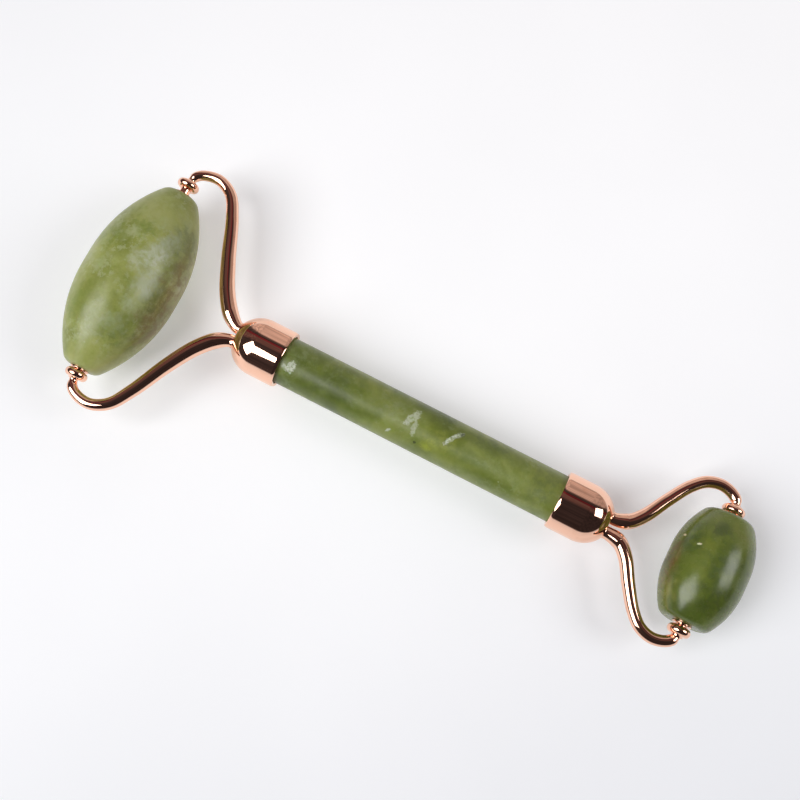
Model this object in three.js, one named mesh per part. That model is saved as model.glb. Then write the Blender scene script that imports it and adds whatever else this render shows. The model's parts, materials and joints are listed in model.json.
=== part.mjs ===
// Jade face roller: a stone handle with a metal fork at each end, and a stone roller that spins
// on two short axle pins in each fork.
//
// Millimetres, +Z up. The roller lies on its two stones as it would on a table: z = 0 is the
// table, X runs along the handle from the large stone to the small one, and Y runs along the
// axles. "Left" is +Y. The origin is below the middle of the object.

import * as THREE from 'three';

// ---- driving dimensions -------------------------------------------------------------------

const HANDLE_RADIUS = 5.05;
const HANDLE_BARE_LENGTH = 61.5;   // handle stone seen between the two ferrules
const HANDLE_OFFSET = -0.85;       // hand-bent forks leave the handle this far right of their middle
const EDGE_ROUND = 0.3;            // small chamfer that breaks a stone or metal edge

const FERRULE_RADIUS = 6.1;        // also the radius of the ferrule's dome
const FERRULE_LENGTH = 11.05;      // rim to the flat tip that carries the arms
const FERRULE_TIP_RADIUS = 3.2;
const CUP_RADIUS = 5.25;
const CUP_DEPTH = 7.5;
const ADHESIVE_THICKNESS = 0.7;    // plug of epoxy between the cup floor and the stone
const GLUE_GAP = 0.15;

const ARM_ROOT_RADIUS = 1.4;
const ARM_GAP = 0.3;               // at the ferrule's tip and at the collar
const ARM_LEAD = 0.8;              // straight stretch at each end of an arm
const ARM_LEAN_LENGTH = 10;        // the arms make up for the handle's offset over this distance
const COLLAR_RADIUS = 2.4;
const COLLAR_THICKNESS = 1.9;
const PIN_RADIUS = 1.1;
const PIN_SEAT_RADIUS = 1.2;       // blind hole in the collar that holds the pin
const PIN_SEAT_DEPTH = 1.3;
const PIN_REACH = 5.0;             // length of pin inside the stone

const BUSHING_BORE_RADIUS = 1.2;
const BUSHING_SLEEVE_RADIUS = 1.65;
const BUSHING_FLANGE_RADIUS = 2.0;
const BUSHING_REACH = 5.5;         // length of sleeve inside the stone
const COUNTERBORE_RADIUS = 1.85;
const COUNTERBORE_DEPTH = 5.9;
const DRILLING_RADIUS = 1.5;       // hole right through the stone
const FLANGE_GAP = 0.1;

// One entry for each end. Routes give the arm's centre line as [distance beyond the ferrule's
// tip, distance from the handle's axis].
const LARGE_END = {
  name: 'large',
  rollerRadius: 10.4,
  rollerHalfLength: 21.1,
  rollerEndRadius: 4.3,
  rollerSlide: -0.55,              // to the right, within the stone's end play
  bellyHalfWidth: 1.5,             // straight band round the middle of the stone
  rimRound: 1.0,
  arcSteps: 6,
  flangeThickness: 0.2,
  collarGap: 0.95,                 // stone's end face to the collar, with the stone in the middle
  tipToAxle: 25.3,
  armRoute: [[3.5, 3.0], [6.6, 6.7], [9.9, 12.8], [13.6, 20.9], [16.4, 25.3], [19.9, 27.1], [23.5, 26.5]],
  armSwellRadius: 1.72,
  armTipRadius: 1.12,
  armTaperPower: 1.8,
};

const SMALL_END = {
  name: 'small',
  rollerRadius: 8.2,
  rollerHalfLength: 11.75,
  rollerEndRadius: 5.5,
  rollerSlide: 0.1,
  bellyHalfWidth: 1.5,
  rimRound: 1.0,
  arcSteps: 4,
  flangeThickness: 0.2,
  collarGap: 0.5,
  tipToAxle: 21.25,
  armRoute: [[3.6, 2.3], [5.9, 4.6], [8.8, 9.5], [11.6, 13.7], [14.2, 16.1], [17.0, 16.9], [19.6, 16.3]],
  armSwellRadius: 1.58,
  armTipRadius: 1.15,
  armTaperPower: 0.5,
};

const ROLLER_SIDES = 32;
const ROUND_SIDES = 16;
const ARM_SIDES = 10;
const ARM_STEPS = 30;
const ARM_SWELL_AT = 0.12;         // share of the arm's length where it is thickest
const TURN = 2 * Math.PI;

// ---- materials ----------------------------------------------------------------------------

const jade = (color, roughness) => new THREE.MeshStandardMaterial({ color, roughness, metalness: 0 });
const metal = (color, roughness) => new THREE.MeshStandardMaterial({ color, roughness, metalness: 1 });

const rollerJade = { large: jade(0x8a9a58, 0.4), small: jade(0x5c6e30, 0.25) };
const handleJade = jade(0x66763c, 0.3);
const roseGold = metal(0xe3a58c, 0.08);
const epoxy = jade(0xd8d4bf, 0.5);

// ---- shapes -------------------------------------------------------------------------------

/** Solid turned about Y from [radius, distance along Y] points. Its flats lie at the radii given. */
function turned(outline, sides) {
  const cornerScale = 1 / Math.cos(Math.PI / sides);
  const points = outline.map(([radius, along]) => new THREE.Vector2(radius * cornerScale, along));
  return new THREE.LatheGeometry(points, sides, Math.PI / sides, TURN);
}

/** The same outline at the other end of the axle. */
const mirrored = (outline) => outline.map(([radius, along]) => [radius, -along]).reverse();

/** Points on a round of the given radius about a centre, between two angles from the axis. */
function arc([centreRadius, centreAlong], radius, from, to, steps) {
  return Array.from({ length: steps + 1 }, (_, i) => {
    const angle = THREE.MathUtils.lerp(from, to, i / steps);
    return [centreRadius + radius * Math.sin(angle), centreAlong + radius * Math.cos(angle)];
  });
}

/** Plain round bar along Y with broken edges. */
function barOutline(radius, from, to, edge) {
  return [[0, from], [radius - edge, from], [radius, from + edge], [radius, to - edge], [radius - edge, to], [0, to]];
}

/** Upper half of a barrel's outside: a straight belly, a long round flank and a soft rim. */
function barrelFlank(end) {
  const length = end.rollerHalfLength - end.rimRound;
  const run = length - end.bellyHalfWidth;
  const drop = end.rollerRadius - end.rollerEndRadius;
  const flankRadius = (run ** 2 + drop ** 2) / (2 * drop);
  const flankAngle = Math.asin(run / flankRadius);
  const centre = [end.rollerRadius - flankRadius, end.bellyHalfWidth];
  const flank = arc(centre, flankRadius, Math.PI / 2, Math.PI / 2 - flankAngle, end.arcSteps);
  const rim = arc([end.rollerEndRadius - end.rimRound, length], end.rimRound, Math.PI / 3, 0, 2);
  return [...flank, ...rim];
}

function rollerStone(end) {
  const flank = barrelFlank(end);
  const shoulder = end.rollerHalfLength - COUNTERBORE_DEPTH;
  const bore = [
    [COUNTERBORE_RADIUS, end.rollerHalfLength],
    [COUNTERBORE_RADIUS, shoulder],
    [DRILLING_RADIUS, shoulder],
  ];
  const half = [...flank, ...bore];
  const outline = [...mirrored(half), ...half];
  return turned([...outline, outline[0]], ROLLER_SIDES);
}

/** Flanged sleeve at the left end of a stone. */
function bushingOutline(end) {
  const face = end.rollerHalfLength + FLANGE_GAP;
  const top = face + end.flangeThickness;
  const foot = end.rollerHalfLength - BUSHING_REACH;
  const outline = [
    [BUSHING_BORE_RADIUS, foot],
    [BUSHING_SLEEVE_RADIUS, foot],
    [BUSHING_SLEEVE_RADIUS, face],
    [BUSHING_FLANGE_RADIUS, face],
    [BUSHING_FLANGE_RADIUS, top],
    [BUSHING_BORE_RADIUS, top],
  ];
  return [...outline, outline[0]];
}

/** Rounded disc at the left end of the axle, with a blind seat for the pin. */
function collarOutline(end) {
  const inner = end.rollerHalfLength + end.collarGap;
  const round = COLLAR_THICKNESS / 2;
  const rim = arc([COLLAR_RADIUS - round, inner + round], round, Math.PI, 0, 6);
  return [[0, inner + PIN_SEAT_DEPTH], [PIN_SEAT_RADIUS, inner + PIN_SEAT_DEPTH], [PIN_SEAT_RADIUS, inner],
    ...rim, [0, inner + COLLAR_THICKNESS]];
}

function pinOutline(end) {
  const outerEnd = end.rollerHalfLength + end.collarGap + PIN_SEAT_DEPTH - GLUE_GAP;
  return barOutline(PIN_RADIUS, end.rollerHalfLength - PIN_REACH, outerEnd, EDGE_ROUND / 2);
}

/** Domed cup from its rim at 0 to the flat tip that carries the arms. */
function ferruleOutline() {
  const tipAngle = Math.asin(FERRULE_TIP_RADIUS / FERRULE_RADIUS);
  const domeCentre = FERRULE_LENGTH - FERRULE_RADIUS * Math.cos(tipAngle);
  const dome = arc([0, domeCentre], FERRULE_RADIUS, Math.PI / 2, tipAngle, 6);
  return [[0, CUP_DEPTH], [CUP_RADIUS, CUP_DEPTH], [CUP_RADIUS, 0], [FERRULE_RADIUS - EDGE_ROUND, 0],
    [FERRULE_RADIUS, EDGE_ROUND], ...dome, [0, FERRULE_LENGTH]];
}

/**
 * Centre line of one arm, starting square to the ferrule's tip and ending square to the collar.
 * Distances across are from the forks' middle, except near the root, which follows the handle.
 */
function armRoute(end, side, handleAcross) {
  const collarFace = end.rollerHalfLength + end.collarGap + COLLAR_THICKNESS;
  const rootSide = ARM_ROOT_RADIUS + ARM_GAP / 2 + 0.05;
  const root = [[ARM_GAP, rootSide], [ARM_GAP + ARM_LEAD, rootSide]];
  const tip = [[end.tipToAxle, collarFace + ARM_GAP + ARM_LEAD], [end.tipToAxle, collarFace + ARM_GAP]];
  const places = [...root, ...end.armRoute, ...tip];
  const points = places.map(([out, across]) => {
    const lean = handleAcross * Math.max(0, 1 - Math.max(0, out - ARM_GAP - ARM_LEAD) / ARM_LEAN_LENGTH);
    return new THREE.Vector3(out, side * across + lean, 0);
  });
  return new THREE.CatmullRomCurve3(points);
}

/** Radius of an arm at a share of its length: a quick swell, then a long taper to the tip. */
function armRadius(end, share) {
  if (share < ARM_SWELL_AT) {
    const swell = THREE.MathUtils.smoothstep(share, 0, ARM_SWELL_AT);
    return THREE.MathUtils.lerp(ARM_ROOT_RADIUS, end.armSwellRadius, swell);
  }
  const along = (share - ARM_SWELL_AT) / (1 - ARM_SWELL_AT);
  return THREE.MathUtils.lerp(end.armSwellRadius, end.armTipRadius, along ** end.armTaperPower);
}

/** Round bar swept along a route, then given its own radius at each ring. */
function taperedBar(route, radiusAt) {
  const thinRadius = 0.5;
  const section = new THREE.Shape().absarc(0, 0, thinRadius, 0, TURN);
  const options = { steps: ARM_STEPS, bevelEnabled: false, curveSegments: ARM_SIDES / 2, extrudePath: route };
  const bar = new THREE.ExtrudeGeometry(section, options);
  const rings = route.getSpacedPoints(ARM_STEPS);
  const corners = bar.attributes.position;
  const corner = new THREE.Vector3();
  for (let i = 0; i < corners.count; i += 1) {
    corner.fromBufferAttribute(corners, i);
    const distances = rings.map((centre) => centre.distanceTo(corner));
    const ring = distances.indexOf(Math.min(...distances));
    corner.sub(rings[ring]).multiplyScalar(radiusAt(ring / ARM_STEPS) / thinRadius).add(rings[ring]);
    corners.setXYZ(i, corner.x, corner.y, corner.z);
  }
  return bar;
}

// ---- assembly -----------------------------------------------------------------------------

function named(name, geometry, material) {
  const mesh = new THREE.Mesh(geometry, material);
  mesh.name = name;
  return mesh;
}

/** A piece at each end of one axle. Local +Y is the object's left or right, as the group is turned. */
function pair(name, outline, material, axle, leftIs) {
  const left = named(`${name}_${leftIs > 0 ? 'left' : 'right'}`, turned(outline, ROUND_SIDES), material);
  const right = named(`${name}_${leftIs > 0 ? 'right' : 'left'}`, turned(mirrored(outline), ROUND_SIDES), material);
  left.position.x = axle;
  right.position.x = axle;
  return [left, right];
}

/** Fixed metalwork of one end, with local +X pointing away from the handle and its rim at x = 0. */
function forkEnd(end, leftIs) {
  const fork = new THREE.Group();
  const handleAcross = leftIs * HANDLE_OFFSET;
  const ferrule = named(`${end.name}_ferrule`, turned(ferruleOutline(), ROUND_SIDES), roseGold);
  ferrule.rotation.z = -Math.PI / 2;
  ferrule.position.y = handleAcross;
  const plugFrom = CUP_DEPTH - GLUE_GAP - ADHESIVE_THICKNESS;
  const plug = barOutline(CUP_RADIUS - GLUE_GAP, plugFrom, CUP_DEPTH - GLUE_GAP, GLUE_GAP);
  const adhesive = named(`${end.name}_adhesive`, turned(plug, ROUND_SIDES), epoxy);
  adhesive.rotation.z = -Math.PI / 2;
  adhesive.position.y = handleAcross;
  fork.add(ferrule, adhesive);

  for (const side of [1, -1]) {
    const radiusAt = (share) => armRadius(end, share);
    const hand = side === leftIs ? 'left' : 'right';
    const route = armRoute(end, side, handleAcross);
    const arm = named(`${end.name}_arm_${hand}`, taperedBar(route, radiusAt), roseGold);
    arm.position.x = FERRULE_LENGTH;
    fork.add(arm);
  }
  const axle = FERRULE_LENGTH + end.tipToAxle;
  fork.add(...pair(`${end.name}_collar`, collarOutline(end), roseGold, axle, leftIs));
  fork.add(...pair(`${end.name}_axle_pin`, pinOutline(end), roseGold, axle, leftIs));
  return fork;
}

/** Stone roller with its two bushings, centred on its axle. */
function rollerEnd(end) {
  const roller = new THREE.Group();
  roller.add(named(`${end.name}_roller_stone`, rollerStone(end), rollerJade[end.name]));
  roller.add(...pair(`${end.name}_bushing`, bushingOutline(end), roseGold, 0, 1));
  return roller;
}

const axleSpacing = LARGE_END.tipToAxle + SMALL_END.tipToAxle + 2 * FERRULE_LENGTH + HANDLE_BARE_LENGTH;
const pitch = Math.asin((LARGE_END.rollerRadius - SMALL_END.rollerRadius) / axleSpacing);
const axleRun = axleSpacing * Math.cos(pitch);
const largeAxleX = (LARGE_END.rollerRadius - SMALL_END.rollerRadius - axleRun) / 2;
const smallAxleX = largeAxleX + axleRun;

// Everything that doesn't spin, along the line from the large axle to the small one.
const body = new THREE.Group();
body.position.set(largeAxleX, 0, LARGE_END.rollerRadius);
body.rotation.y = pitch;

const bareFrom = LARGE_END.tipToAxle + FERRULE_LENGTH;
const stoneReach = CUP_DEPTH - 2 * GLUE_GAP - ADHESIVE_THICKNESS;
const stoneHalfLength = HANDLE_BARE_LENGTH / 2 + stoneReach;
const stoneOutline = barOutline(HANDLE_RADIUS, -stoneHalfLength, stoneHalfLength, EDGE_ROUND);
const handleStone = named('handle_stone', turned(stoneOutline, ROUND_SIDES), handleJade);
handleStone.rotation.z = -Math.PI / 2;
handleStone.position.set(bareFrom + HANDLE_BARE_LENGTH / 2, HANDLE_OFFSET, 0);

const largeFork = forkEnd(LARGE_END, -1);
largeFork.position.x = bareFrom;
largeFork.rotation.z = Math.PI;
const smallFork = forkEnd(SMALL_END, 1);
smallFork.position.x = bareFrom + HANDLE_BARE_LENGTH;
body.add(handleStone, largeFork, smallFork);

const largeRoller = rollerEnd(LARGE_END);
largeRoller.position.set(largeAxleX, LARGE_END.rollerSlide, LARGE_END.rollerRadius);
const smallRoller = rollerEnd(SMALL_END);
smallRoller.position.set(smallAxleX, SMALL_END.rollerSlide, SMALL_END.rollerRadius);

const faceRoller = new THREE.Group();
faceRoller.add(body, largeRoller, smallRoller);

export default faceRoller;
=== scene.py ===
import json
import math

import bpy
from mathutils import Matrix, Vector, noise


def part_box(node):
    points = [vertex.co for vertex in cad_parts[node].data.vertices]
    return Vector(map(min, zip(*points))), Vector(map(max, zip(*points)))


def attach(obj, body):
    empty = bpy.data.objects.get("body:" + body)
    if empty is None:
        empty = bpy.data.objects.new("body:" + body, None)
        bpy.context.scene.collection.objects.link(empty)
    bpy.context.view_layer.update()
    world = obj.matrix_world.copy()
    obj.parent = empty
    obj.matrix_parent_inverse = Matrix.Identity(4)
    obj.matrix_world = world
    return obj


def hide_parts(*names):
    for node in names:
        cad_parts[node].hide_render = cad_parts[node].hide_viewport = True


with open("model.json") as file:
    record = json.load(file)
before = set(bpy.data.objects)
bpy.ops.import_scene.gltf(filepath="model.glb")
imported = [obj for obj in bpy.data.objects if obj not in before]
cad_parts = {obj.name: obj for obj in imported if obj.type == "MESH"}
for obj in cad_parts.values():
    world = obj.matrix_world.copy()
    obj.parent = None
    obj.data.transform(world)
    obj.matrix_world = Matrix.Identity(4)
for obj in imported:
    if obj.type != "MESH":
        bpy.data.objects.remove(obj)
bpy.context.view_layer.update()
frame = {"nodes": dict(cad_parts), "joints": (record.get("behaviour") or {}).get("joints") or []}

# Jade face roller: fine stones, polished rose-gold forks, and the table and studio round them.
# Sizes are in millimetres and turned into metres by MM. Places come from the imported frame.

MM = 0.001

# ---- places from the frame ----------------------------------------------------------------

axles = {j["child"]: Vector(j["pos_m"]) for j in frame["joints"]}
large_axle = axles["large_roller"]
small_axle = axles["small_roller"]
SQUARE = Vector((1, 0, 1))             # drops the slide of a stone along its axle
ALONG = ((small_axle - large_axle) * SQUARE).normalized()
LEFT = Vector((0, 1, 0))
AXLE_SPACING = ((small_axle - large_axle) * SQUARE).length
HANDLE_ACROSS = sum(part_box("handle_stone"), Vector()).y / 2


def placed(origin, x_axis, y_axis):
    """Matrix that puts local millimetres at an origin, with the given directions for x and y."""
    z_axis = x_axis.cross(y_axis)
    turn = Matrix((x_axis, y_axis, z_axis)).transposed().to_4x4()
    return Matrix.Translation(origin) @ turn @ Matrix.Scale(MM, 4)


def half_size(node, axis):
    """Half of a node's box along one axis, in millimetres."""
    low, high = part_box(node)
    return (high[axis] - low[axis]) / 2 / MM


# ---- sizes of the pieces, in millimetres ---------------------------------------------------

FERRULE_RADIUS = 6.1
FERRULE_LENGTH = 11.05
FERRULE_TIP_RADIUS = 3.2
TIP_RING_INSET = 0.35            # from the flat tip's edge to the ring of points inside it
LIP_ROUND = 1.6
LIP_LENGTH = 0.75
LIP_SWEEP = 0.45                 # radians
RIM_INSET = 0.2
CUP_RADIUS = 5.25
CUP_DEPTH = 7.5
HANDLE_RADIUS = 5.05
HANDLE_END_LENGTH = 1
HANDLE_END_ROUND = 0.4
STONE_IN_CUP = 6.5

ARM_ROOT_RADIUS = 1.4
ARM_ROOT_SIDE = 1.6
ARM_STRAIGHT = 1.1               # an arm leaves the ferrule straight for this length
ARM_SINK = 0.15                  # an arm reaches this far into the ferrule and the collar
ARM_SWELL_AT = 0.12              # its thickest place, as a share of its length from the root
ARM_SCALE = 0.93                 # share of an end's swell and tip that its arms have
ARM_LEAN_LENGTH = 10
NECK_DEPTH = 0.2
NECK_AT = 0.6                    # from the arm's tip, and also how far the neck spreads
FLARE = 0.3
ROOT_FLARE_LENGTH = 0.3
TIP_FLARE_LENGTH = 0.2

COLLAR_RADIUS = 2.4
COLLAR_THICKNESS = 1.9
PIN_RADIUS = 1.1
PIN_DEPTH = 5                    # into the stone
PIN_IN_COLLAR = 0.3
BUSHING_BORE_RADIUS = 1.2
BUSHING_SLEEVE_RADIUS = 1.65
BUSHING_DEPTH = 5.5              # into the stone
FLANGE_RADIUS = 2.0
FLANGE_FOOT = 0.05               # out of the stone's face, and so is the top
FLANGE_TOP = 0.3

BELLY_HALF_WIDTH = 1.5
BARREL_RIM_LENGTH = 1.0
COUNTERBORE_RADIUS = 1.85
COUNTERBORE_DEPTH = 5.9
COUNTERBORE_CHAMFER = 0.25
DRILLING_RADIUS = 1.5


class End:
    """One end of the roller. Its arms' places are (out, across): out from the flat tip of the
    ferrule, away from the handle, and across to the side. swell and tip are an arm's radii at its
    thickest place and at its tip, and taper shapes the thinning between them. gap lies between
    the stone's face and the collar. end_radius is the stone's radius where its rim starts."""

    def __init__(self, name, axle, outward, tip_to_axle, route, swell, tip, taper, gap, end_radius):
        self.name = name
        self.axle = axle
        self.tip_to_axle = tip_to_axle
        self.route = route
        self.swell = swell
        self.tip = tip
        self.taper = taper
        self.end_radius = end_radius
        self.outward = outward
        self.stone = name + "_roller_stone"
        self.radius = half_size(self.stone, 2)
        self.half_length = half_size(self.stone, 1)
        self.fork_axle = axle * SQUARE
        self.tip_middle = self.fork_axle - outward * tip_to_axle * MM
        self.tip_centre = self.tip_middle + LEFT * HANDLE_ACROSS
        self.collar_inner = self.half_length + gap


LARGE = End(
    "large", large_axle, -ALONG, tip_to_axle=25.3,
    route=[
        (3.5, 3.0), (6.6, 6.7), (9.9, 12.8), (13.6, 20.9),
        (16.4, 25.3), (19.9, 27.1), (23.3, 26.6), (24.8, 25.5),
    ],
    swell=1.85, tip=1.12, taper=1.2, gap=0.95, end_radius=4.3,
)
SMALL = End(
    "small", small_axle, ALONG, tip_to_axle=21.25,
    route=[
        (3.6, 2.3), (5.9, 4.6), (8.8, 9.5), (11.6, 13.7),
        (14.2, 16.1), (17.0, 16.9), (19.4, 16.4), (20.8, 15.4),
    ],
    swell=1.76, tip=1.26, taper=0.5, gap=0.5, end_radius=5.5,
)

# ---- mesh making --------------------------------------------------------------------------

SHARP_ANGLE = math.radians(40)
ON_AXIS = 1e-6                   # a smaller radius counts as none


def new_object(name, points, faces):
    mesh = bpy.data.meshes.new(name)
    mesh.from_pydata([tuple(p) for p in points], [], faces)
    mesh.validate()
    mesh.shade_smooth()
    mesh.set_sharp_from_angle(angle=SHARP_ANGLE)
    thing = bpy.data.objects.new(name, mesh)
    bpy.context.scene.collection.objects.link(thing)
    return thing


def turned(name, outline, matrix, sides):
    """Solid turned about local y from (radius, along) points, ending on the axis or closed."""
    ring = outline[0] == outline[-1]
    corners = outline[:-1] if ring else outline
    points = []
    rows = []
    for radius, along in corners:
        if radius < ON_AXIS:
            rows.append([len(points)] * sides)
            points.append(matrix @ Vector((0, along, 0)))
            continue
        rows.append(range(len(points), len(points) + sides))
        for i in range(sides):
            angle = 2 * math.pi * i / sides
            place_on_ring = Vector((radius * math.sin(angle), along, radius * math.cos(angle)))
            points.append(matrix @ place_on_ring)
    faces = []
    pairs = list(zip(rows, rows[1:] + rows[:1] if ring else rows[1:]))
    for low, high in pairs:
        for i in range(sides):
            j = (i + 1) % sides
            loop = [low[i], low[j], high[j], high[i]]
            faces.append([v for k, v in enumerate(loop) if v != loop[k - 1]])
    return new_object(name, points, faces)


def arc(centre, radius, start, end, steps):
    """(radius, along) points on a round, between two angles measured from the axis."""
    turns = [start + (end - start) * i / steps for i in range(steps + 1)]
    return [(centre[0] + radius * math.sin(a), centre[1] + radius * math.cos(a)) for a in turns]


def rounded(corners, steps=6):
    """An outline of (radius, along, round) corners with each corner rounded off."""
    outline = []
    for i, (radius, along, size) in enumerate(corners):
        here = Vector((radius, along))
        if size == 0:
            outline.append((radius, along))
            continue
        before = (Vector(corners[i - 1][:2]) - here).normalized()
        after = (Vector(corners[(i + 1) % len(corners)][:2]) - here).normalized()
        half = math.acos(max(-1, min(1, before.dot(after)))) / 2
        reach = size / math.tan(half)
        centre = here + (before + after).normalized() * size / math.sin(half)
        start = (here + before * reach - centre).normalized()
        end = (here + after * reach - centre).normalized()
        for k in range(steps + 1):
            outline.append(tuple(centre + start.slerp(end, k / steps) * size))
    return outline


def mirrored(outline):
    return [(radius, -along) for radius, along in reversed(outline)]


def catmull_rom(places, samples):
    """Points on a centripetal Catmull-Rom curve through the places."""
    spots = [2 * places[0] - places[1], *places, 2 * places[-1] - places[-2]]
    points = []
    for a, b, c, d in zip(spots, spots[1:], spots[2:], spots[3:]):
        ta, tb, tc = (math.sqrt((q - p).length) for p, q in ((a, b), (b, c), (c, d)))
        start = ((b - a) / ta - (c - a) / (ta + tb) + (c - b) / tb) * tb
        end = ((c - b) / tb - (d - b) / (tb + tc) + (d - c) / tc) * tb
        for i in range(samples):
            t = i / samples
            cube = 2 * b - 2 * c + start + end
            square = 3 * c - 3 * b - 2 * start - end
            points.append(b + start * t + square * t ** 2 + cube * t ** 3)
    return [*points, places[-1]]


def swept(name, route, radii, matrix, sides):
    """Round bar along a flat route of (x, y) points, closed by a flat cap at each end."""
    points = []
    for i, centre in enumerate(route):
        ahead = route[min(i + 1, len(route) - 1)] - route[max(i - 1, 0)]
        normal = Vector((-ahead.y, ahead.x)).normalized()
        for k in range(sides):
            angle = 2 * math.pi * k / sides
            side = centre + normal * radii[i] * math.cos(angle)
            points.append(matrix @ Vector((side.x, side.y, radii[i] * math.sin(angle))))
    faces = [list(reversed(range(sides)))]
    for i in range(len(route) - 1):
        for k in range(sides):
            j = (k + 1) % sides
            a, b = i * sides, (i + 1) * sides
            faces.append([a + k, a + j, b + j, b + k])
    last = (len(route) - 1) * sides
    faces.append([last + k for k in range(sides)])
    return new_object(name, points, faces)


def face_outward(thing):
    """Turns a closed mesh's faces out if they point in."""
    mesh = thing.data
    volume = 0
    for face in mesh.polygons:
        corners = [mesh.vertices[v].co for v in face.vertices]
        for b, c in zip(corners[1:], corners[2:]):
            volume += corners[0].dot(b.cross(c))
    if volume < 0:
        mesh.flip_normals()


# ---- material nodes -----------------------------------------------------------------------


def new_material(name):
    material = bpy.data.materials.new(name)
    material.use_nodes = True
    tree = material.node_tree
    tree.nodes.clear()
    return material, tree


def add(tree, kind, inputs=None, **settings):
    """One node. inputs maps socket names or numbers to values or to other nodes' outputs."""
    node = tree.nodes.new("ShaderNode" + kind)
    for key, value in settings.items():
        setattr(node, key, value)
    for key, value in (inputs or {}).items():
        if isinstance(value, bpy.types.NodeSocket):
            tree.links.new(value, node.inputs[key])
        else:
            node.inputs[key].default_value = value
    return node


def place(tree, shift=(0, 0, 0)):
    """The object's own coordinates in metres, shifted so that no two pieces match."""
    coords = add(tree, "TexCoord").outputs["Object"]
    return add(tree, "Mapping", {"Vector": coords, "Location": shift}).outputs["Vector"]


def noise_of(tree, at, size, detail=3.0, roughness=0.5, distortion=0.0):
    """Noise with features of about the given size in millimetres."""
    inputs = {
        "Vector": at, "Scale": 1 / (size * MM), "Detail": detail,
        "Roughness": roughness, "Distortion": distortion,
    }
    return add(tree, "TexNoise", inputs).outputs[0]


def remap(tree, value, low, high, to_low=0.0, to_high=1.0):
    """The value, carried smoothly from one range to another and held at that range's ends."""
    inputs = {
        "Value": value, "From Min": low, "From Max": high, "To Min": to_low, "To Max": to_high,
    }
    return add(tree, "MapRange", inputs, interpolation_type="SMOOTHSTEP").outputs[0]


def calc(tree, operation, a, b):
    return add(tree, "Math", {0: a, 1: b}, operation=operation).outputs[0]


def times(tree, a, b):
    return calc(tree, "MULTIPLY", a, b)


def plus(tree, a, b):
    return calc(tree, "ADD", a, b)


def length_of(tree, vector):
    return add(tree, "VectorMath", {0: vector}, operation="LENGTH").outputs["Value"]


def reach_along(tree, vector, direction):
    """How far a vector reaches along a direction."""
    product = add(tree, "VectorMath", {0: vector, 1: direction}, operation="DOT_PRODUCT")
    return product.outputs["Value"]


def mix(tree, share, a, b, blend="MIX"):
    node = add(tree, "Mix", {0: share, 6: a, 7: b}, data_type="RGBA", blend_type=blend)
    return node.outputs[2]


def ramp(tree, value, stops):
    node = add(tree, "ValToRGB", {0: value})
    elements = node.color_ramp.elements
    while len(elements) < len(stops):
        elements.new(0.5)
    for element, (position, colour) in zip(elements, stops):
        element.position = position
        element.color = colour
    return node.outputs[0]


def srgb(red, green, blue):
    """Linear colour from 0-255 sRGB."""
    def linear(c):
        c /= 255
        return c / 12.92 if c <= 0.04045 else ((c + 0.055) / 1.055) ** 2.4
    return (linear(red), linear(green), linear(blue), 1)


WOBBLE_REACH = 2.2
BLOT_EDGE = 2.0


def spot(tree, at, centre, size, turn, wobble, softness):
    """1 inside a ragged blot, with its centre and half sizes in millimetres and its turn about z
    in degrees. Its edge lies where its scaled distance and its wobble add up to BLOT_EDGE."""
    inputs = {
        "Vector": at, "Location": [c * MM for c in centre],
        "Rotation": (0, 0, math.radians(turn)), "Scale": [c * MM for c in size],
    }
    scaled = add(tree, "Mapping", inputs, vector_type="TEXTURE").outputs[0]
    ragged = plus(tree, length_of(tree, scaled), times(tree, wobble, WOBBLE_REACH))
    return remap(tree, ragged, BLOT_EDGE + softness, BLOT_EDGE - softness)


def blotted(tree, colour, at, blots, texture, edge_roughness, softness):
    """The colour with ragged blots over it, which the texture breaks up."""
    unshifted = place(tree)
    for centre, size, turn, raggedness, blot_colour, share in blots:
        wobble = noise_of(tree, at, raggedness, 4, edge_roughness)
        blot = spot(tree, unshifted, centre, size, turn, wobble, softness)
        broken = times(tree, blot, texture)
        colour = mix(tree, times(tree, broken, share), colour, blot_colour)
    return colour


DRIFT_SIZE = 12                  # millimetres, as DRIFT_REACH
DRIFT_REACH = 6


def drifting(tree, at):
    """The places, moved by a slow noise so that what is drawn at them flows."""
    slow = add(tree, "TexNoise", {"Vector": at, "Scale": 1 / (DRIFT_SIZE * MM), "Detail": 2.0})
    inputs = {0: slow.outputs["Color"], 1: [DRIFT_REACH * MM] * 3}
    drift = add(tree, "VectorMath", inputs, operation="MULTIPLY").outputs[0]
    return add(tree, "VectorMath", {0: at, 1: drift}, operation="ADD").outputs[0]


def clouded(tree, colour, at, warped, cloud, cloud_share):
    """The colour with milky clouds and granular patches over it."""
    clouds = remap(tree, noise_of(tree, warped, 8, 4, 0.6, 0.4), 0.48, 0.72)
    wisps = remap(tree, noise_of(tree, warped, 2.2, 4, 0.65), 0.42, 0.7)
    milky = times(tree, clouds, remap(tree, wisps, 0, 1, 0.45, 1.0))
    colour = mix(tree, times(tree, milky, cloud_share), colour, cloud)
    granules = remap(tree, noise_of(tree, at, 1.3, 4, 0.7), 0.47, 0.62)
    patches = remap(tree, noise_of(tree, warped, 6, 2, 0.5), 0.42, 0.6)
    granular = times(tree, granules, patches)
    return mix(tree, times(tree, granular, cloud_share * 0.8), colour, cloud)


FLECK_SPACING = 2.6              # millimetres


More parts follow.
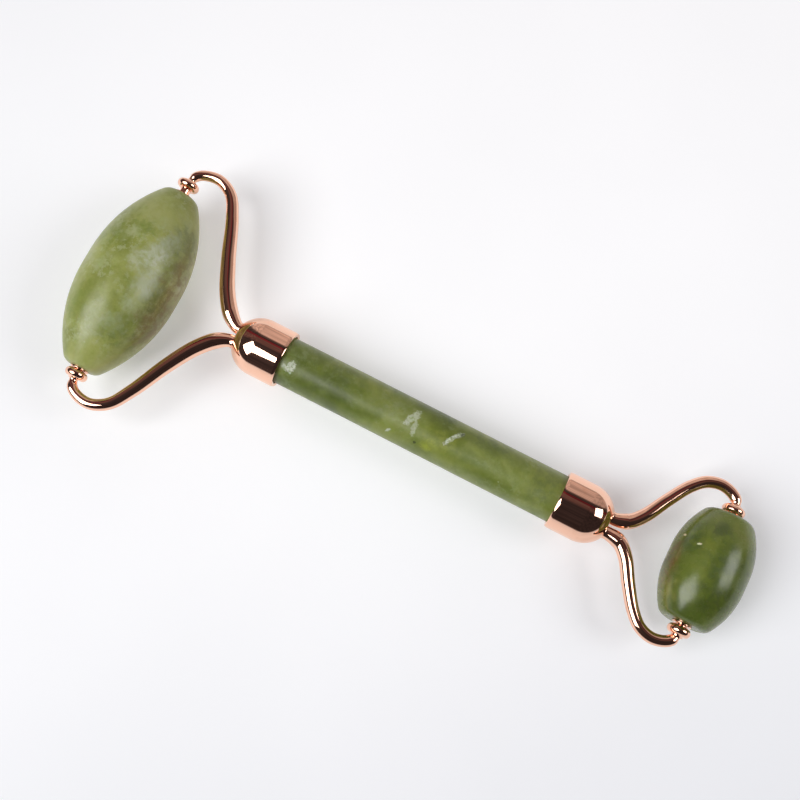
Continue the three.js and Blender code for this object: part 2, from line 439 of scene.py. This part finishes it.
def flecked(tree, colour, at, fleck_colour):
    """The colour with rare small flecks over it."""
    inputs = {"Vector": at, "Scale": 1 / (FLECK_SPACING * MM), "Randomness": 1.0}
    distance = add(tree, "TexVoronoi", inputs).outputs["Distance"]
    fleck = remap(tree, distance, 0.11, 0.04)
    rare = remap(tree, noise_of(tree, at, 5, 1, 0.5), 0.52, 0.62)
    return mix(tree, times(tree, times(tree, fleck, rare), 0.5), colour, fleck_colour)


def jade(name, shift, dark, middle, light, cloud, cloud_share, roughness, blots=(), crystals=()):
    """Polished jade: drifting tones, milky clouds, soft blots, broken crystals, fine mottling, pale
    flecks and soft light inside."""
    material, tree = new_material(name)
    at = place(tree, shift)
    warped = drifting(tree, at)
    tones = noise_of(tree, warped, 15, 3, 0.55)
    mottling = noise_of(tree, warped, 4.5, 5, 0.62)
    grain = noise_of(tree, at, 0.7, 3, 0.6)
    mixed = plus(tree, times(tree, tones, 0.62), times(tree, mottling, 0.3))
    tone = plus(tree, mixed, times(tree, grain, 0.08))
    colour = ramp(tree, tone, [(0.39, dark), (0.5, middle), (0.61, light)])
    colour = clouded(tree, colour, at, warped, cloud, cloud_share)

    grains = remap(tree, noise_of(tree, warped, 1.5, 4, 0.65), 0.38, 0.6, 0.4, 1.0)
    colour = blotted(tree, colour, at, blots, grains, edge_roughness=0.65, softness=0.6)
    shards = remap(tree, noise_of(tree, at, 0.5, 3, 0.7), 0.36, 0.56, 0.25, 1.0)
    colour = blotted(tree, colour, at, crystals, shards, edge_roughness=0.8, softness=0.2)
    colour = flecked(tree, colour, at, cloud)

    worn = noise_of(tree, warped, 3.0, 4, 0.6)
    polish = remap(tree, worn, 0.3, 0.7, roughness - 0.05, roughness + 0.07)
    height = plus(tree, times(tree, mottling, 0.7), times(tree, grain, 0.3))
    bump = add(tree, "Bump", {"Strength": 0.25, "Distance": 0.00012, "Height": height})
    shader = add(tree, "BsdfPrincipled", {
        "Base Color": colour, "Roughness": polish, "Normal": bump.outputs[0], "IOR": 1.5,
        "Subsurface Weight": 0.35, "Subsurface Radius": (0.55, 1.0, 0.3), "Subsurface Scale": 0.001,
    })
    add(tree, "OutputMaterial", {"Surface": shader.outputs[0]})
    return material


def plated_metal(name, colour, tarnish, roughness):
    """Mirror-polished plating with faint smudges and fine wipe marks, over a slightly uneven
    casting."""
    material, tree = new_material(name)
    at = place(tree)
    smudges = remap(tree, noise_of(tree, at, 3.0, 4, 0.6, 0.5), 0.5, 0.75)
    inputs = {"Vector": at, "Rotation": (0.3, 0.2, 0.5), "Scale": (1, 9, 9)}
    stretched = add(tree, "Mapping", inputs).outputs[0]
    wipes = remap(tree, noise_of(tree, stretched, 2.2, 5, 0.7), 0.5, 0.8)
    tint = mix(tree, times(tree, smudges, 0.5), colour, tarnish)
    dull = times(tree, plus(tree, smudges, wipes), 0.05)
    casting = noise_of(tree, at, 2.6, 2, 0.5)
    bump = add(tree, "Bump", {"Strength": 0.03, "Distance": 0.0001, "Height": casting})
    shader = add(tree, "BsdfPrincipled", {
        "Base Color": tint, "Metallic": 1.0, "Roughness": plus(tree, dull, roughness),
        "Normal": bump.outputs[0],
    })
    add(tree, "OutputMaterial", {"Surface": shader.outputs[0]})
    return material


def cured_epoxy():
    material, tree = new_material("cured_epoxy")
    at = place(tree)
    bubbles = remap(tree, noise_of(tree, at, 1.2, 4, 0.6), 0.35, 0.7)
    colour = mix(tree, bubbles, srgb(196, 190, 160), srgb(226, 221, 200))
    shader = add(tree, "BsdfPrincipled", {"Base Color": colour, "Roughness": 0.4, "IOR": 1.5})
    add(tree, "OutputMaterial", {"Surface": shader.outputs[0]})
    return material


def on_handle(along, across):
    """A place on top of the handle stone, in millimetres: its distance from the large ferrule's
    rim, and from the middle to the left."""
    rim = LARGE.tip_centre + ALONG * FERRULE_LENGTH * MM
    height = math.sqrt(HANDLE_RADIUS ** 2 - across ** 2)
    return (rim + (ALONG * along + LEFT * across + ALONG.cross(LEFT) * height) * MM) / MM


def on_roller(end, out, across):
    """A place on top of a roller stone, in millimetres: its distance from the axle towards +X, and
    from the middle to the left."""
    past_belly = max(0, abs(across) - BELLY_HALF_WIDTH)
    share = past_belly / (end.half_length - BELLY_HALF_WIDTH)
    radius = end.radius - (end.radius - end.end_radius) * share ** 2
    height = math.sqrt(max(0, radius ** 2 - out ** 2))
    return end.axle / MM + Vector((out, across, height))


# Each blot and crystal is its centre, half sizes, turn, size of ragged edge, colour and share.
WHITE_VEIN = srgb(206, 214, 196)
HANDLE_JADE = jade(
    "handle_jade", (0.31, 0.12, 0.05),
    dark=srgb(81, 95, 32), middle=srgb(106, 119, 46), light=srgb(130, 140, 66),
    cloud=srgb(172, 184, 142), cloud_share=0.2, roughness=0.37,
    blots=[
        (on_handle(35.5, -1.2), (4.2, 2.2, 3), 0, 2.5, srgb(146, 155, 66), 0.6),
        (on_handle(33.8, -3.0), (1.5, 1.0, 2), 30, 1.2, srgb(160, 168, 66), 0.8),
        (on_handle(49.0, 0.0), (6.0, 2.6, 3), 0, 2.5, srgb(144, 156, 90), 0.5),
        (on_handle(12.0, 1.5), (6.0, 2.4, 3), 0, 3.0, srgb(86, 100, 54), 0.6),
        (on_handle(45.5, 2.6), (6.0, 1.8, 3), 0, 3.0, srgb(82, 96, 50), 0.6),
        (on_handle(58.0, 0.5), (3.0, 5.0, 4), 0, 3.0, srgb(86, 98, 54), 0.6),
        (on_handle(24.0, 0.6), (5.0, 1.8, 3), 0, 2.0, srgb(128, 138, 92), 0.5),
    ],
    crystals=[
        # Two whitish patches beside the large ferrule's rim, drawn with the crystals' colour and
        # breakup.
        (on_handle(2.4, -1.4), (1.0, 1.4, 2), 15, 1.4, WHITE_VEIN, 0.75),
        (on_handle(1.3, -2.2), (0.9, 0.5, 2), -30, 0.8, WHITE_VEIN, 0.5),
        (on_handle(28.8, 0.5), (0.9, 2.4, 2), -25, 0.9, WHITE_VEIN, 0.6),
        (on_handle(29.9, -1.4), (0.6, 1.6, 2), 10, 0.7, WHITE_VEIN, 0.45),
        (on_handle(37.4, 0.1), (2.0, 0.5, 2), 62, 0.7, WHITE_VEIN, 0.95),
        (on_handle(38.6, 1.5), (1.3, 0.45, 2), 50, 0.5, WHITE_VEIN, 0.6),
        (on_handle(25.4, -3.7), (0.7, 0.25, 2), 40, 0.6, WHITE_VEIN, 0.8),
        (on_handle(39.2, 1.9), (0.55, 0.4, 2), 53, 0.6, srgb(60, 66, 50), 0.9),
        (on_handle(31.2, -3.6), (0.3, 0.25, 2), 0, 0.6, srgb(40, 46, 24), 1.0),
    ],
)
MILKY = srgb(184, 191, 162)
# Olive-brown for the large stone's +X side: partly the stone's own tone, partly painted shade on
# the right side in view, where less light falls.
OLIVE_BROWN_SHADE = srgb(118, 100, 54)
LARGE_JADE = jade(
    "large_roller_jade", (0.07, 0.4, 0.22),
    dark=srgb(120, 130, 56), middle=srgb(146, 154, 80), light=srgb(168, 173, 103),
    cloud=srgb(178, 186, 146), cloud_share=0.55, roughness=0.35,
    blots=[
        (on_roller(LARGE, -1.0, 14.0), (5.0, 4.5, 5), 0, 3.0, srgb(162, 168, 108), 0.7),
        # Painted shade: the dark blots from 7.5 to 10 mm out darken the stone's +X side, the right
        # side in view, where less light falls. They lie over its own grey-green and olive-brown
        # tones.
        (on_roller(LARGE, 7.5, 12.0), (3.0, 4.0, 6), 0, 3.0, srgb(106, 118, 68), 0.55),
        (on_roller(LARGE, 9.0, 8.5), (3.0, 6.0, 6), 0, 3.0, srgb(106, 112, 64), 0.55),
        (on_roller(LARGE, 10.0, 0.0), (2.6, 10.0, 6), -4, 3.0, OLIVE_BROWN_SHADE, 0.75),
        (on_roller(LARGE, 9.2, -8.0), (2.6, 7.0, 6), 12, 3.0, OLIVE_BROWN_SHADE, 0.65),
        (on_roller(LARGE, -5.5, 5.5), (3.4, 3.0, 4), 0, 2.0, srgb(112, 130, 50), 0.6),
        (on_roller(LARGE, 0.0, 9.0), (2.8, 2.0, 4), 0, 1.6, srgb(112, 130, 52), 0.7),
        # Painted shade on the stone's +X side as well, over its own dark yellow-green.
        (on_roller(LARGE, 8.0, -3.0), (2.0, 4.5, 4), 0, 2.0, srgb(98, 112, 48), 0.7),
        (on_roller(LARGE, -5.0, -10.0), (2.4, 4.0, 4), 0, 2.0, srgb(112, 130, 50), 0.5),
        (on_roller(LARGE, 5.5, -12.5), (3.4, 3.0, 4), 0, 2.0, srgb(104, 118, 50), 0.7),
        (on_roller(LARGE, 2.4, 2.4), (2.0, 2.4, 4), 20, 1.4, MILKY, 0.7),
        (on_roller(LARGE, 4.8, 5.0), (2.2, 3.2, 4), -10, 1.4, MILKY, 0.9),
        (on_roller(LARGE, 5.8, 8.8), (2.0, 2.8, 4), 0, 1.6, srgb(164, 172, 142), 0.7),
        (on_roller(LARGE, 5.8, -0.8), (2.4, 3.8, 4), 0, 2.0, srgb(166, 174, 140), 0.8),
        (on_roller(LARGE, 4.8, -6.5), (1.5, 1.4, 3), 0, 1.2, srgb(164, 174, 130), 0.7),
        (on_roller(LARGE, 3.6, -11.0), (2.6, 2.2, 3), 0, 1.6, srgb(156, 166, 126), 0.7),
        (on_roller(LARGE, -1.5, 7.5), (1.6, 1.2, 3), 0, 1.0, srgb(166, 174, 126), 0.8),
        (on_roller(LARGE, -4.2, -1.5), (1.4, 2.2, 3), -15, 1.2, srgb(160, 170, 118), 0.8),
        (on_roller(LARGE, 0.2, -12.0), (2.2, 4.2, 3), 0, 2.0, srgb(166, 174, 130), 0.6),
    ],
)
SMALL_JADE = jade(
    "small_roller_jade", (0.55, 0.03, 0.61),
    dark=srgb(79, 93, 33), middle=srgb(100, 113, 43), light=srgb(120, 130, 55),
    cloud=srgb(138, 150, 96), cloud_share=0.15, roughness=0.25,
    blots=[
        (on_roller(SMALL, -1.5, 7.2), (2.8, 2.0, 4), 20, 1.6, srgb(64, 78, 36), 0.8),
        (on_roller(SMALL, 0.6, 0.6), (2.6, 5.0, 4), 0, 2.0, srgb(74, 90, 44), 0.8),
        (on_roller(SMALL, -5.6, 2.8), (2.6, 3.4, 4), 0, 2.0, srgb(66, 84, 42), 0.7),
        (on_roller(SMALL, 3.0, -6.0), (4.2, 3.4, 4), 0, 2.4, srgb(66, 78, 34), 0.8),
        (on_roller(SMALL, -4.0, -2.6), (2.2, 3.4, 4), 0, 2.0, srgb(106, 121, 46), 0.7),
        (on_roller(SMALL, 3.6, 8.2), (3.6, 2.6, 4), 0, 2.0, srgb(116, 122, 58), 0.8),
        (on_roller(SMALL, -4.2, 9.6), (3.6, 2.2, 4), 0, 2.0, srgb(112, 121, 66), 0.7),
        (on_roller(SMALL, -6.4, -7.6), (2.4, 3.4, 4), 0, 2.0, srgb(128, 130, 64), 0.8),
        (on_roller(SMALL, -7.4, -2.0), (1.0, 5.0, 4), 4, 1.2, srgb(100, 82, 44), 0.8),
    ],
    crystals=[
        (on_roller(SMALL, -4.5, 2.6), (0.5, 0.24, 1), 20, 0.5, srgb(230, 226, 196), 1.0),
        (on_roller(SMALL, -7.2, 3.6), (0.24, 0.26, 1), 0, 0.5, srgb(214, 206, 160), 1.0),
    ],
)
ROSE_GOLD = plated_metal("rose_gold_plating", srgb(251, 202, 175), srgb(240, 184, 150), 0.045)
EPOXY = cured_epoxy()

# ---- pieces -------------------------------------------------------------------------------


def piece(thing, node, body, material):
    face_outward(thing)
    thing.data.materials.append(material)
    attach(thing, body)
    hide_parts(node)


def barrel_outline(end):
    """Outside of a barrel from face to face, with soft rims, and its stepped bore."""
    run = end.half_length - BARREL_RIM_LENGTH - BELLY_HALF_WIDTH
    drop = end.radius - end.end_radius
    flank_radius = (run ** 2 + drop ** 2) / (2 * drop)
    flank_angle = math.asin(run / flank_radius)
    rim_start = math.pi / 2 - flank_angle
    flank_centre = (end.radius - flank_radius, BELLY_HALF_WIDTH)
    flank = arc(flank_centre, flank_radius, math.pi / 2, rim_start, 60)
    rim_radius = BARREL_RIM_LENGTH / (1 - math.sin(flank_angle))
    rim_centre = (end.end_radius - rim_radius * math.cos(flank_angle), end.half_length - rim_radius)
    rim = arc(rim_centre, rim_radius, rim_start, 0, 14)
    shoulder = end.half_length - COUNTERBORE_DEPTH
    bore = [
        (COUNTERBORE_RADIUS + COUNTERBORE_CHAMFER, end.half_length),
        (COUNTERBORE_RADIUS, end.half_length - COUNTERBORE_CHAMFER),
        (COUNTERBORE_RADIUS, shoulder),
        (DRILLING_RADIUS, shoulder),
    ]
    half = [*flank[:-1], *rim, *bore]
    outline = [*mirrored(half), *half]
    return [*outline, outline[0]]


def hand_ground(thing, amount, size):
    """Lowers the surface by a slow unevenness of up to the amount, so that the stone never grows.
    Amount and size are in millimetres."""
    vertices = thing.data.vertices
    normals = [vertex.normal.copy() for vertex in vertices]
    for vertex, normal in zip(vertices, normals):
        wave = noise.noise(vertex.co / (size * MM)) * 0.5 + 0.5
        vertex.co -= normal * wave * amount * MM


def roller_stone(end, material):
    matrix = placed(end.axle, Vector((1, 0, 0)), LEFT)
    stone = turned(end.stone + "_polished", barrel_outline(end), matrix, sides=160)
    face_outward(stone)
    hand_ground(stone, amount=0.05, size=9)
    piece(stone, end.stone, end.name + "_roller", material)


def handle_stone():
    rim_to_rim = AXLE_SPACING / MM - LARGE.tip_to_axle - SMALL.tip_to_axle - 2 * FERRULE_LENGTH
    half_length = rim_to_rim / 2 + STONE_IN_CUP
    straight = half_length - HANDLE_END_LENGTH
    centre = (LARGE.tip_centre + SMALL.tip_centre) / 2
    steps = 60
    side = [(HANDLE_RADIUS, -straight + 2 * straight * i / steps) for i in range(steps + 1)]
    end_outline = rounded([
        (HANDLE_RADIUS, straight, 0), (HANDLE_RADIUS, half_length, HANDLE_END_ROUND),
        (0, half_length, 0),
    ])[1:]
    outline = [*mirrored(end_outline), *side, *end_outline]
    matrix = placed(centre, -LEFT, ALONG)
    stone = turned("handle_stone_polished", outline, matrix, sides=128)
    face_outward(stone)
    hand_ground(stone, amount=0.04, size=11)
    piece(stone, "handle_stone", "handle", HANDLE_JADE)


def ferrule(end):
    """Domed cup with a rolled rim. Local y points to the tip and starts at the rim."""
    rim_centre = end.tip_centre - end.outward * FERRULE_LENGTH * MM
    matrix = placed(rim_centre, LEFT.cross(end.outward), end.outward)
    tip_angle = math.asin(FERRULE_TIP_RADIUS / FERRULE_RADIUS)
    dome_centre = (0, FERRULE_LENGTH - FERRULE_RADIUS * math.cos(tip_angle))
    cup = rounded([
        (0, CUP_DEPTH, 0), (CUP_RADIUS, CUP_DEPTH, 0.3), (CUP_RADIUS, 0, 0.2),
        (FERRULE_RADIUS - RIM_INSET, 0, 0),
    ])
    lip_centre = (FERRULE_RADIUS - LIP_ROUND, LIP_LENGTH)
    lip = arc(lip_centre, LIP_ROUND, math.pi / 2 + LIP_SWEEP, math.pi / 2, 16)
    dome = arc(dome_centre, FERRULE_RADIUS, math.pi / 2, tip_angle, 40)
    tip = [(FERRULE_TIP_RADIUS - TIP_RING_INSET, FERRULE_LENGTH), (0, FERRULE_LENGTH)]
    outline = [*cup, *lip, *dome, *tip]
    cap = turned(end.name + "_ferrule_polished", outline, matrix, sides=128)
    piece(cap, end.name + "_ferrule", "handle", ROSE_GOLD)


def arm_radius(end, share, from_root, from_tip):
    """Radius of an arm, with a small braze flare where it meets the ferrule and the collar, and a
    thinner neck next to the collar."""
    if share < ARM_SWELL_AT:
        s = share / ARM_SWELL_AT
        radius = ARM_ROOT_RADIUS + (end.swell - ARM_ROOT_RADIUS) * s * s * (3 - 2 * s)
    else:
        s = (share - ARM_SWELL_AT) / (1 - ARM_SWELL_AT)
        radius = end.swell + (end.tip - end.swell) * s ** end.taper
    neck = NECK_DEPTH * math.exp(-((from_tip - NECK_AT) / NECK_AT) ** 2)
    root_flare = FLARE * math.exp(-from_root / ROOT_FLARE_LENGTH)
    tip_flare = FLARE * math.exp(-from_tip / TIP_FLARE_LENGTH)
    return ARM_SCALE * radius - neck + root_flare + tip_flare


def leaning(out, across, side):
    """A place on an arm's route, drawn towards the handle's axis near the root."""
    share = max(0, 1 - max(0, out - ARM_STRAIGHT) / ARM_LEAN_LENGTH)
    return Vector((out, across + side * HANDLE_ACROSS / MM * share))


def arm(end, side, hand):
    """One S-shaped arm, from inside the ferrule's flat tip to inside the collar's outer face."""
    matrix = placed(end.tip_middle, end.outward, LEFT * side)
    collar_face = end.collar_inner + COLLAR_THICKNESS
    places = [
        (-ARM_SINK, ARM_ROOT_SIDE), (ARM_STRAIGHT, ARM_ROOT_SIDE), *end.route,
        (end.tip_to_axle, collar_face - ARM_SINK),
    ]
    route = catmull_rom([leaning(out, across, side) for out, across in places], samples=24)
    travelled = [0]
    for a, b in zip(route, route[1:]):
        travelled.append(travelled[-1] + (b - a).length)
    length = travelled[-1]
    radii = [arm_radius(end, t / length, t, length - t) for t in travelled]
    bar = swept(f"{end.name}_arm_{hand}_polished", route, radii, matrix, sides=48)
    piece(bar, f"{end.name}_arm_{hand}", "handle", ROSE_GOLD)


def collar(end, hand, matrix):
    inner = end.collar_inner
    bulge = COLLAR_THICKNESS / 2
    rim = arc((COLLAR_RADIUS - bulge, inner + bulge), bulge, math.pi, 0, 24)
    outline = [(0, inner), *rim, (0, inner + COLLAR_THICKNESS)]
    bead = turned(f"{end.name}_collar_{hand}_polished", outline, matrix, sides=96)
    piece(bead, f"{end.name}_collar_{hand}", "handle", ROSE_GOLD)


def axle_pin(end, hand, matrix):
    foot = end.half_length - PIN_DEPTH
    top = end.collar_inner + PIN_IN_COLLAR
    outline = rounded([(0, foot, 0), (PIN_RADIUS, foot, 0.2), (PIN_RADIUS, top, 0), (0, top, 0)])
    pin = turned(f"{end.name}_axle_pin_{hand}_plated", outline, matrix, sides=64)
    piece(pin, f"{end.name}_axle_pin_{hand}", "handle", ROSE_GOLD)


def bushing(end, hand, matrix):
    foot = end.half_length - BUSHING_DEPTH
    flange_foot = end.half_length + FLANGE_FOOT
    top = end.half_length + FLANGE_TOP
    outline = rounded([
        (BUSHING_BORE_RADIUS, foot, 0), (BUSHING_SLEEVE_RADIUS, foot, 0.1),
        (BUSHING_SLEEVE_RADIUS, flange_foot, 0), (FLANGE_RADIUS, flange_foot, 0),
        (FLANGE_RADIUS, top, 0.12), (BUSHING_BORE_RADIUS, top, 0.08),
    ])
    sleeve = turned(f"{end.name}_bushing_{hand}_polished", [*outline, outline[0]], matrix, sides=72)
    piece(sleeve, f"{end.name}_bushing_{hand}", end.name + "_roller", ROSE_GOLD)


def axle_set(end, side, hand):
    """Collar and pin of the fork, and the stone's bushing, at one end of an axle."""
    fixed = placed(end.fork_axle, Vector((side, 0, 0)), LEFT * side)
    spinning = placed(end.axle, Vector((side, 0, 0)), LEFT * side)
    collar(end, hand, fixed)
    axle_pin(end, hand, fixed)
    bushing(end, hand, spinning)


handle_stone()
for end, stone_material in ((LARGE, LARGE_JADE), (SMALL, SMALL_JADE)):
    roller_stone(end, stone_material)
    ferrule(end)
    frame["nodes"][end.name + "_adhesive"].data.materials[0] = EPOXY
    for side, hand in ((1, "left"), (-1, "right")):
        arm(end, side, hand)
        axle_set(end, side, hand)

# ---- table, light and camera --------------------------------------------------------------

HEADING = math.radians(27.9)     # the picture's right, from +X towards +Y
TILT = math.radians(12.9)        # camera's lean back from straight down
ROLL = math.radians(-0.55)
CAMERA_DISTANCE = 0.2427
CAMERA_TARGET = Vector((-0.00315, 0.00246, 0.010))
LENS = 54                        # millimetres, as SENSOR_WIDTH
SENSOR_WIDTH = 36
TABLE_HALF_WIDTH = 2.5

picture_right = Vector((math.cos(HEADING), math.sin(HEADING), 0))
picture_up = Vector((-math.sin(HEADING), math.cos(HEADING), 0))


def facing(azimuth):
    """Level direction at an angle in degrees from the picture's right towards its top."""
    angle = math.radians(azimuth)
    return picture_right * math.cos(angle) + picture_up * math.sin(angle)


def dimmed_towards(tree, colour, at, azimuth, start, end, factor):
    """The colour, multiplied by the factor bit by bit between two distances in a direction: painted
    shade.
    """
    reach = reach_along(tree, at, facing(azimuth))
    dimmed = mix(tree, 1.0, colour, factor, "MULTIPLY")
    return mix(tree, remap(tree, reach, start, end), colour, dimmed)


def table_top():
    size = TABLE_HALF_WIDTH
    corners = [(-size, -size, 0), (size, -size, 0), (size, size, 0), (-size, size, 0)]
    top = new_object("table_top", corners, [[0, 1, 2, 3]])
    material, tree = new_material("white_table")
    at = place(tree)
    cloudy = remap(tree, noise_of(tree, at, 60, 3, 0.5), 0.35, 0.65)
    colour = mix(tree, cloudy, (0.757, 0.768, 0.785, 1), (0.769, 0.78, 0.797, 1))
    # Painted shade: the table darkens towards the picture's lower right and towards its left, as
    # the light falls off across it.
    colour = dimmed_towards(tree, colour, at, -68, -0.02, 0.11, (0.82, 0.83, 0.85, 1))
    colour = dimmed_towards(tree, colour, at, 185, 0.0, 0.09, (0.935, 0.94, 0.945, 1))
    # Painted light: the table glows though it is no lamp, more so further out, which lifts the
    # shadows round the roller and keeps the far table bright in reflections.
    glow = remap(tree, length_of(tree, at), 0.25, 1.2, 0.4, 0.55)
    shader = add(tree, "BsdfPrincipled", {
        "Base Color": colour, "Roughness": 0.6, "Emission Color": colour, "Emission Strength": glow,
    })
    add(tree, "OutputMaterial", {"Surface": shader.outputs[0]})
    top.data.materials.append(material)


def softbox(name, right, up, height, width, depth, radiance):
    """Rectangular light at a place given in the picture's directions, facing the object. Its
    width runs level and its depth runs up the slope it faces along."""
    light = bpy.data.lights.new(name, "AREA")
    light.shape = "RECTANGLE"
    light.size = width
    light.size_y = depth
    light.energy = radiance * math.pi * width * depth
    lamp = bpy.data.objects.new(name, light)
    place_in_room = picture_right * right + picture_up * up + Vector((0, 0, height))
    back = place_in_room.normalized()
    level = Vector((0, 0, 1)).cross(back).normalized()
    turn = Matrix((level, back.cross(level), back)).transposed().to_4x4()
    lamp.matrix_world = Matrix.Translation(place_in_room) @ turn
    lamp.visible_camera = False
    bpy.context.scene.collection.objects.link(lamp)


def studio_world():
    """Dim room beyond the table: an uneven dark ceiling, a maroon strip and a lit grey wall, one
    after the other towards the picture's top right, and a pale band at the horizon."""
    world = bpy.data.worlds.new("studio")
    world.use_nodes = True
    tree = world.node_tree
    tree.nodes.clear()
    direction = add(tree, "TexCoord").outputs["Generated"]
    height = add(tree, "SeparateXYZ", {0: direction}).outputs["Z"]
    dim = (0.032, 0.026, 0.028, 1)
    brown = (0.105, 0.064, 0.062, 1)
    maroon = (0.1, 0.016, 0.022, 1)
    wall_foot = (0.06, 0.05, 0.05, 1)
    wall_edge = (0.38, 0.32, 0.3, 1)
    wall = (0.45, 0.38, 0.36, 1)
    pale = (0.5, 0.5, 0.53, 1)
    room = ramp(tree, reach_along(tree, direction, facing(61)), [
        (0.0, dim), (0.16, brown), (0.32, brown), (0.35, maroon), (0.42, maroon), (0.45, dim),
        (0.57, wall_foot), (0.63, wall_edge), (0.68, wall),
    ])
    leftward = reach_along(tree, direction, facing(150))
    brighter = remap(tree, leftward, -0.35, 0.3, 0.9, 1.35)
    patches = add(tree, "TexNoise", {"Vector": direction, "Scale": 9.0, "Detail": 2.0}).outputs[0]
    patchy = remap(tree, patches, 0.35, 0.65, 0.75, 1.2)
    room = mix(tree, 1.0, room, times(tree, brighter, patchy), "MULTIPLY")
    colour = mix(tree, remap(tree, height, 0.06, 0.0), room, pale)
    shader = add(tree, "Background", {"Color": colour, "Strength": 1.0})
    add(tree, "OutputWorld", {"Surface": shader.outputs[0]})
    bpy.context.scene.world = world


def camera():
    data = bpy.data.cameras.new("camera")
    data.lens = LENS
    data.sensor_width = SENSOR_WIDTH
    eye = bpy.data.objects.new("camera", data)
    back = Vector((0, 0, 1)) * math.cos(TILT) - picture_up * math.sin(TILT)
    up = picture_up * math.cos(TILT) + Vector((0, 0, 1)) * math.sin(TILT)
    right = picture_right * math.cos(ROLL) + up * math.sin(ROLL)
    up = back.cross(right)
    turn = Matrix((right, up, back)).transposed().to_4x4()
    eye.matrix_world = Matrix.Translation(CAMERA_TARGET + back * CAMERA_DISTANCE) @ turn
    bpy.context.scene.collection.objects.link(eye)
    bpy.context.scene.camera = eye


table_top()
studio_world()
softbox("left_softbox", -0.66, -0.18, 0.78, width=0.64, depth=0.80, radiance=5.8)
softbox("right_softbox", 0.655, -0.12, 0.515, width=0.37, depth=0.44, radiance=5.0)
camera()
bpy.context.scene.view_settings.view_transform = "Standard"
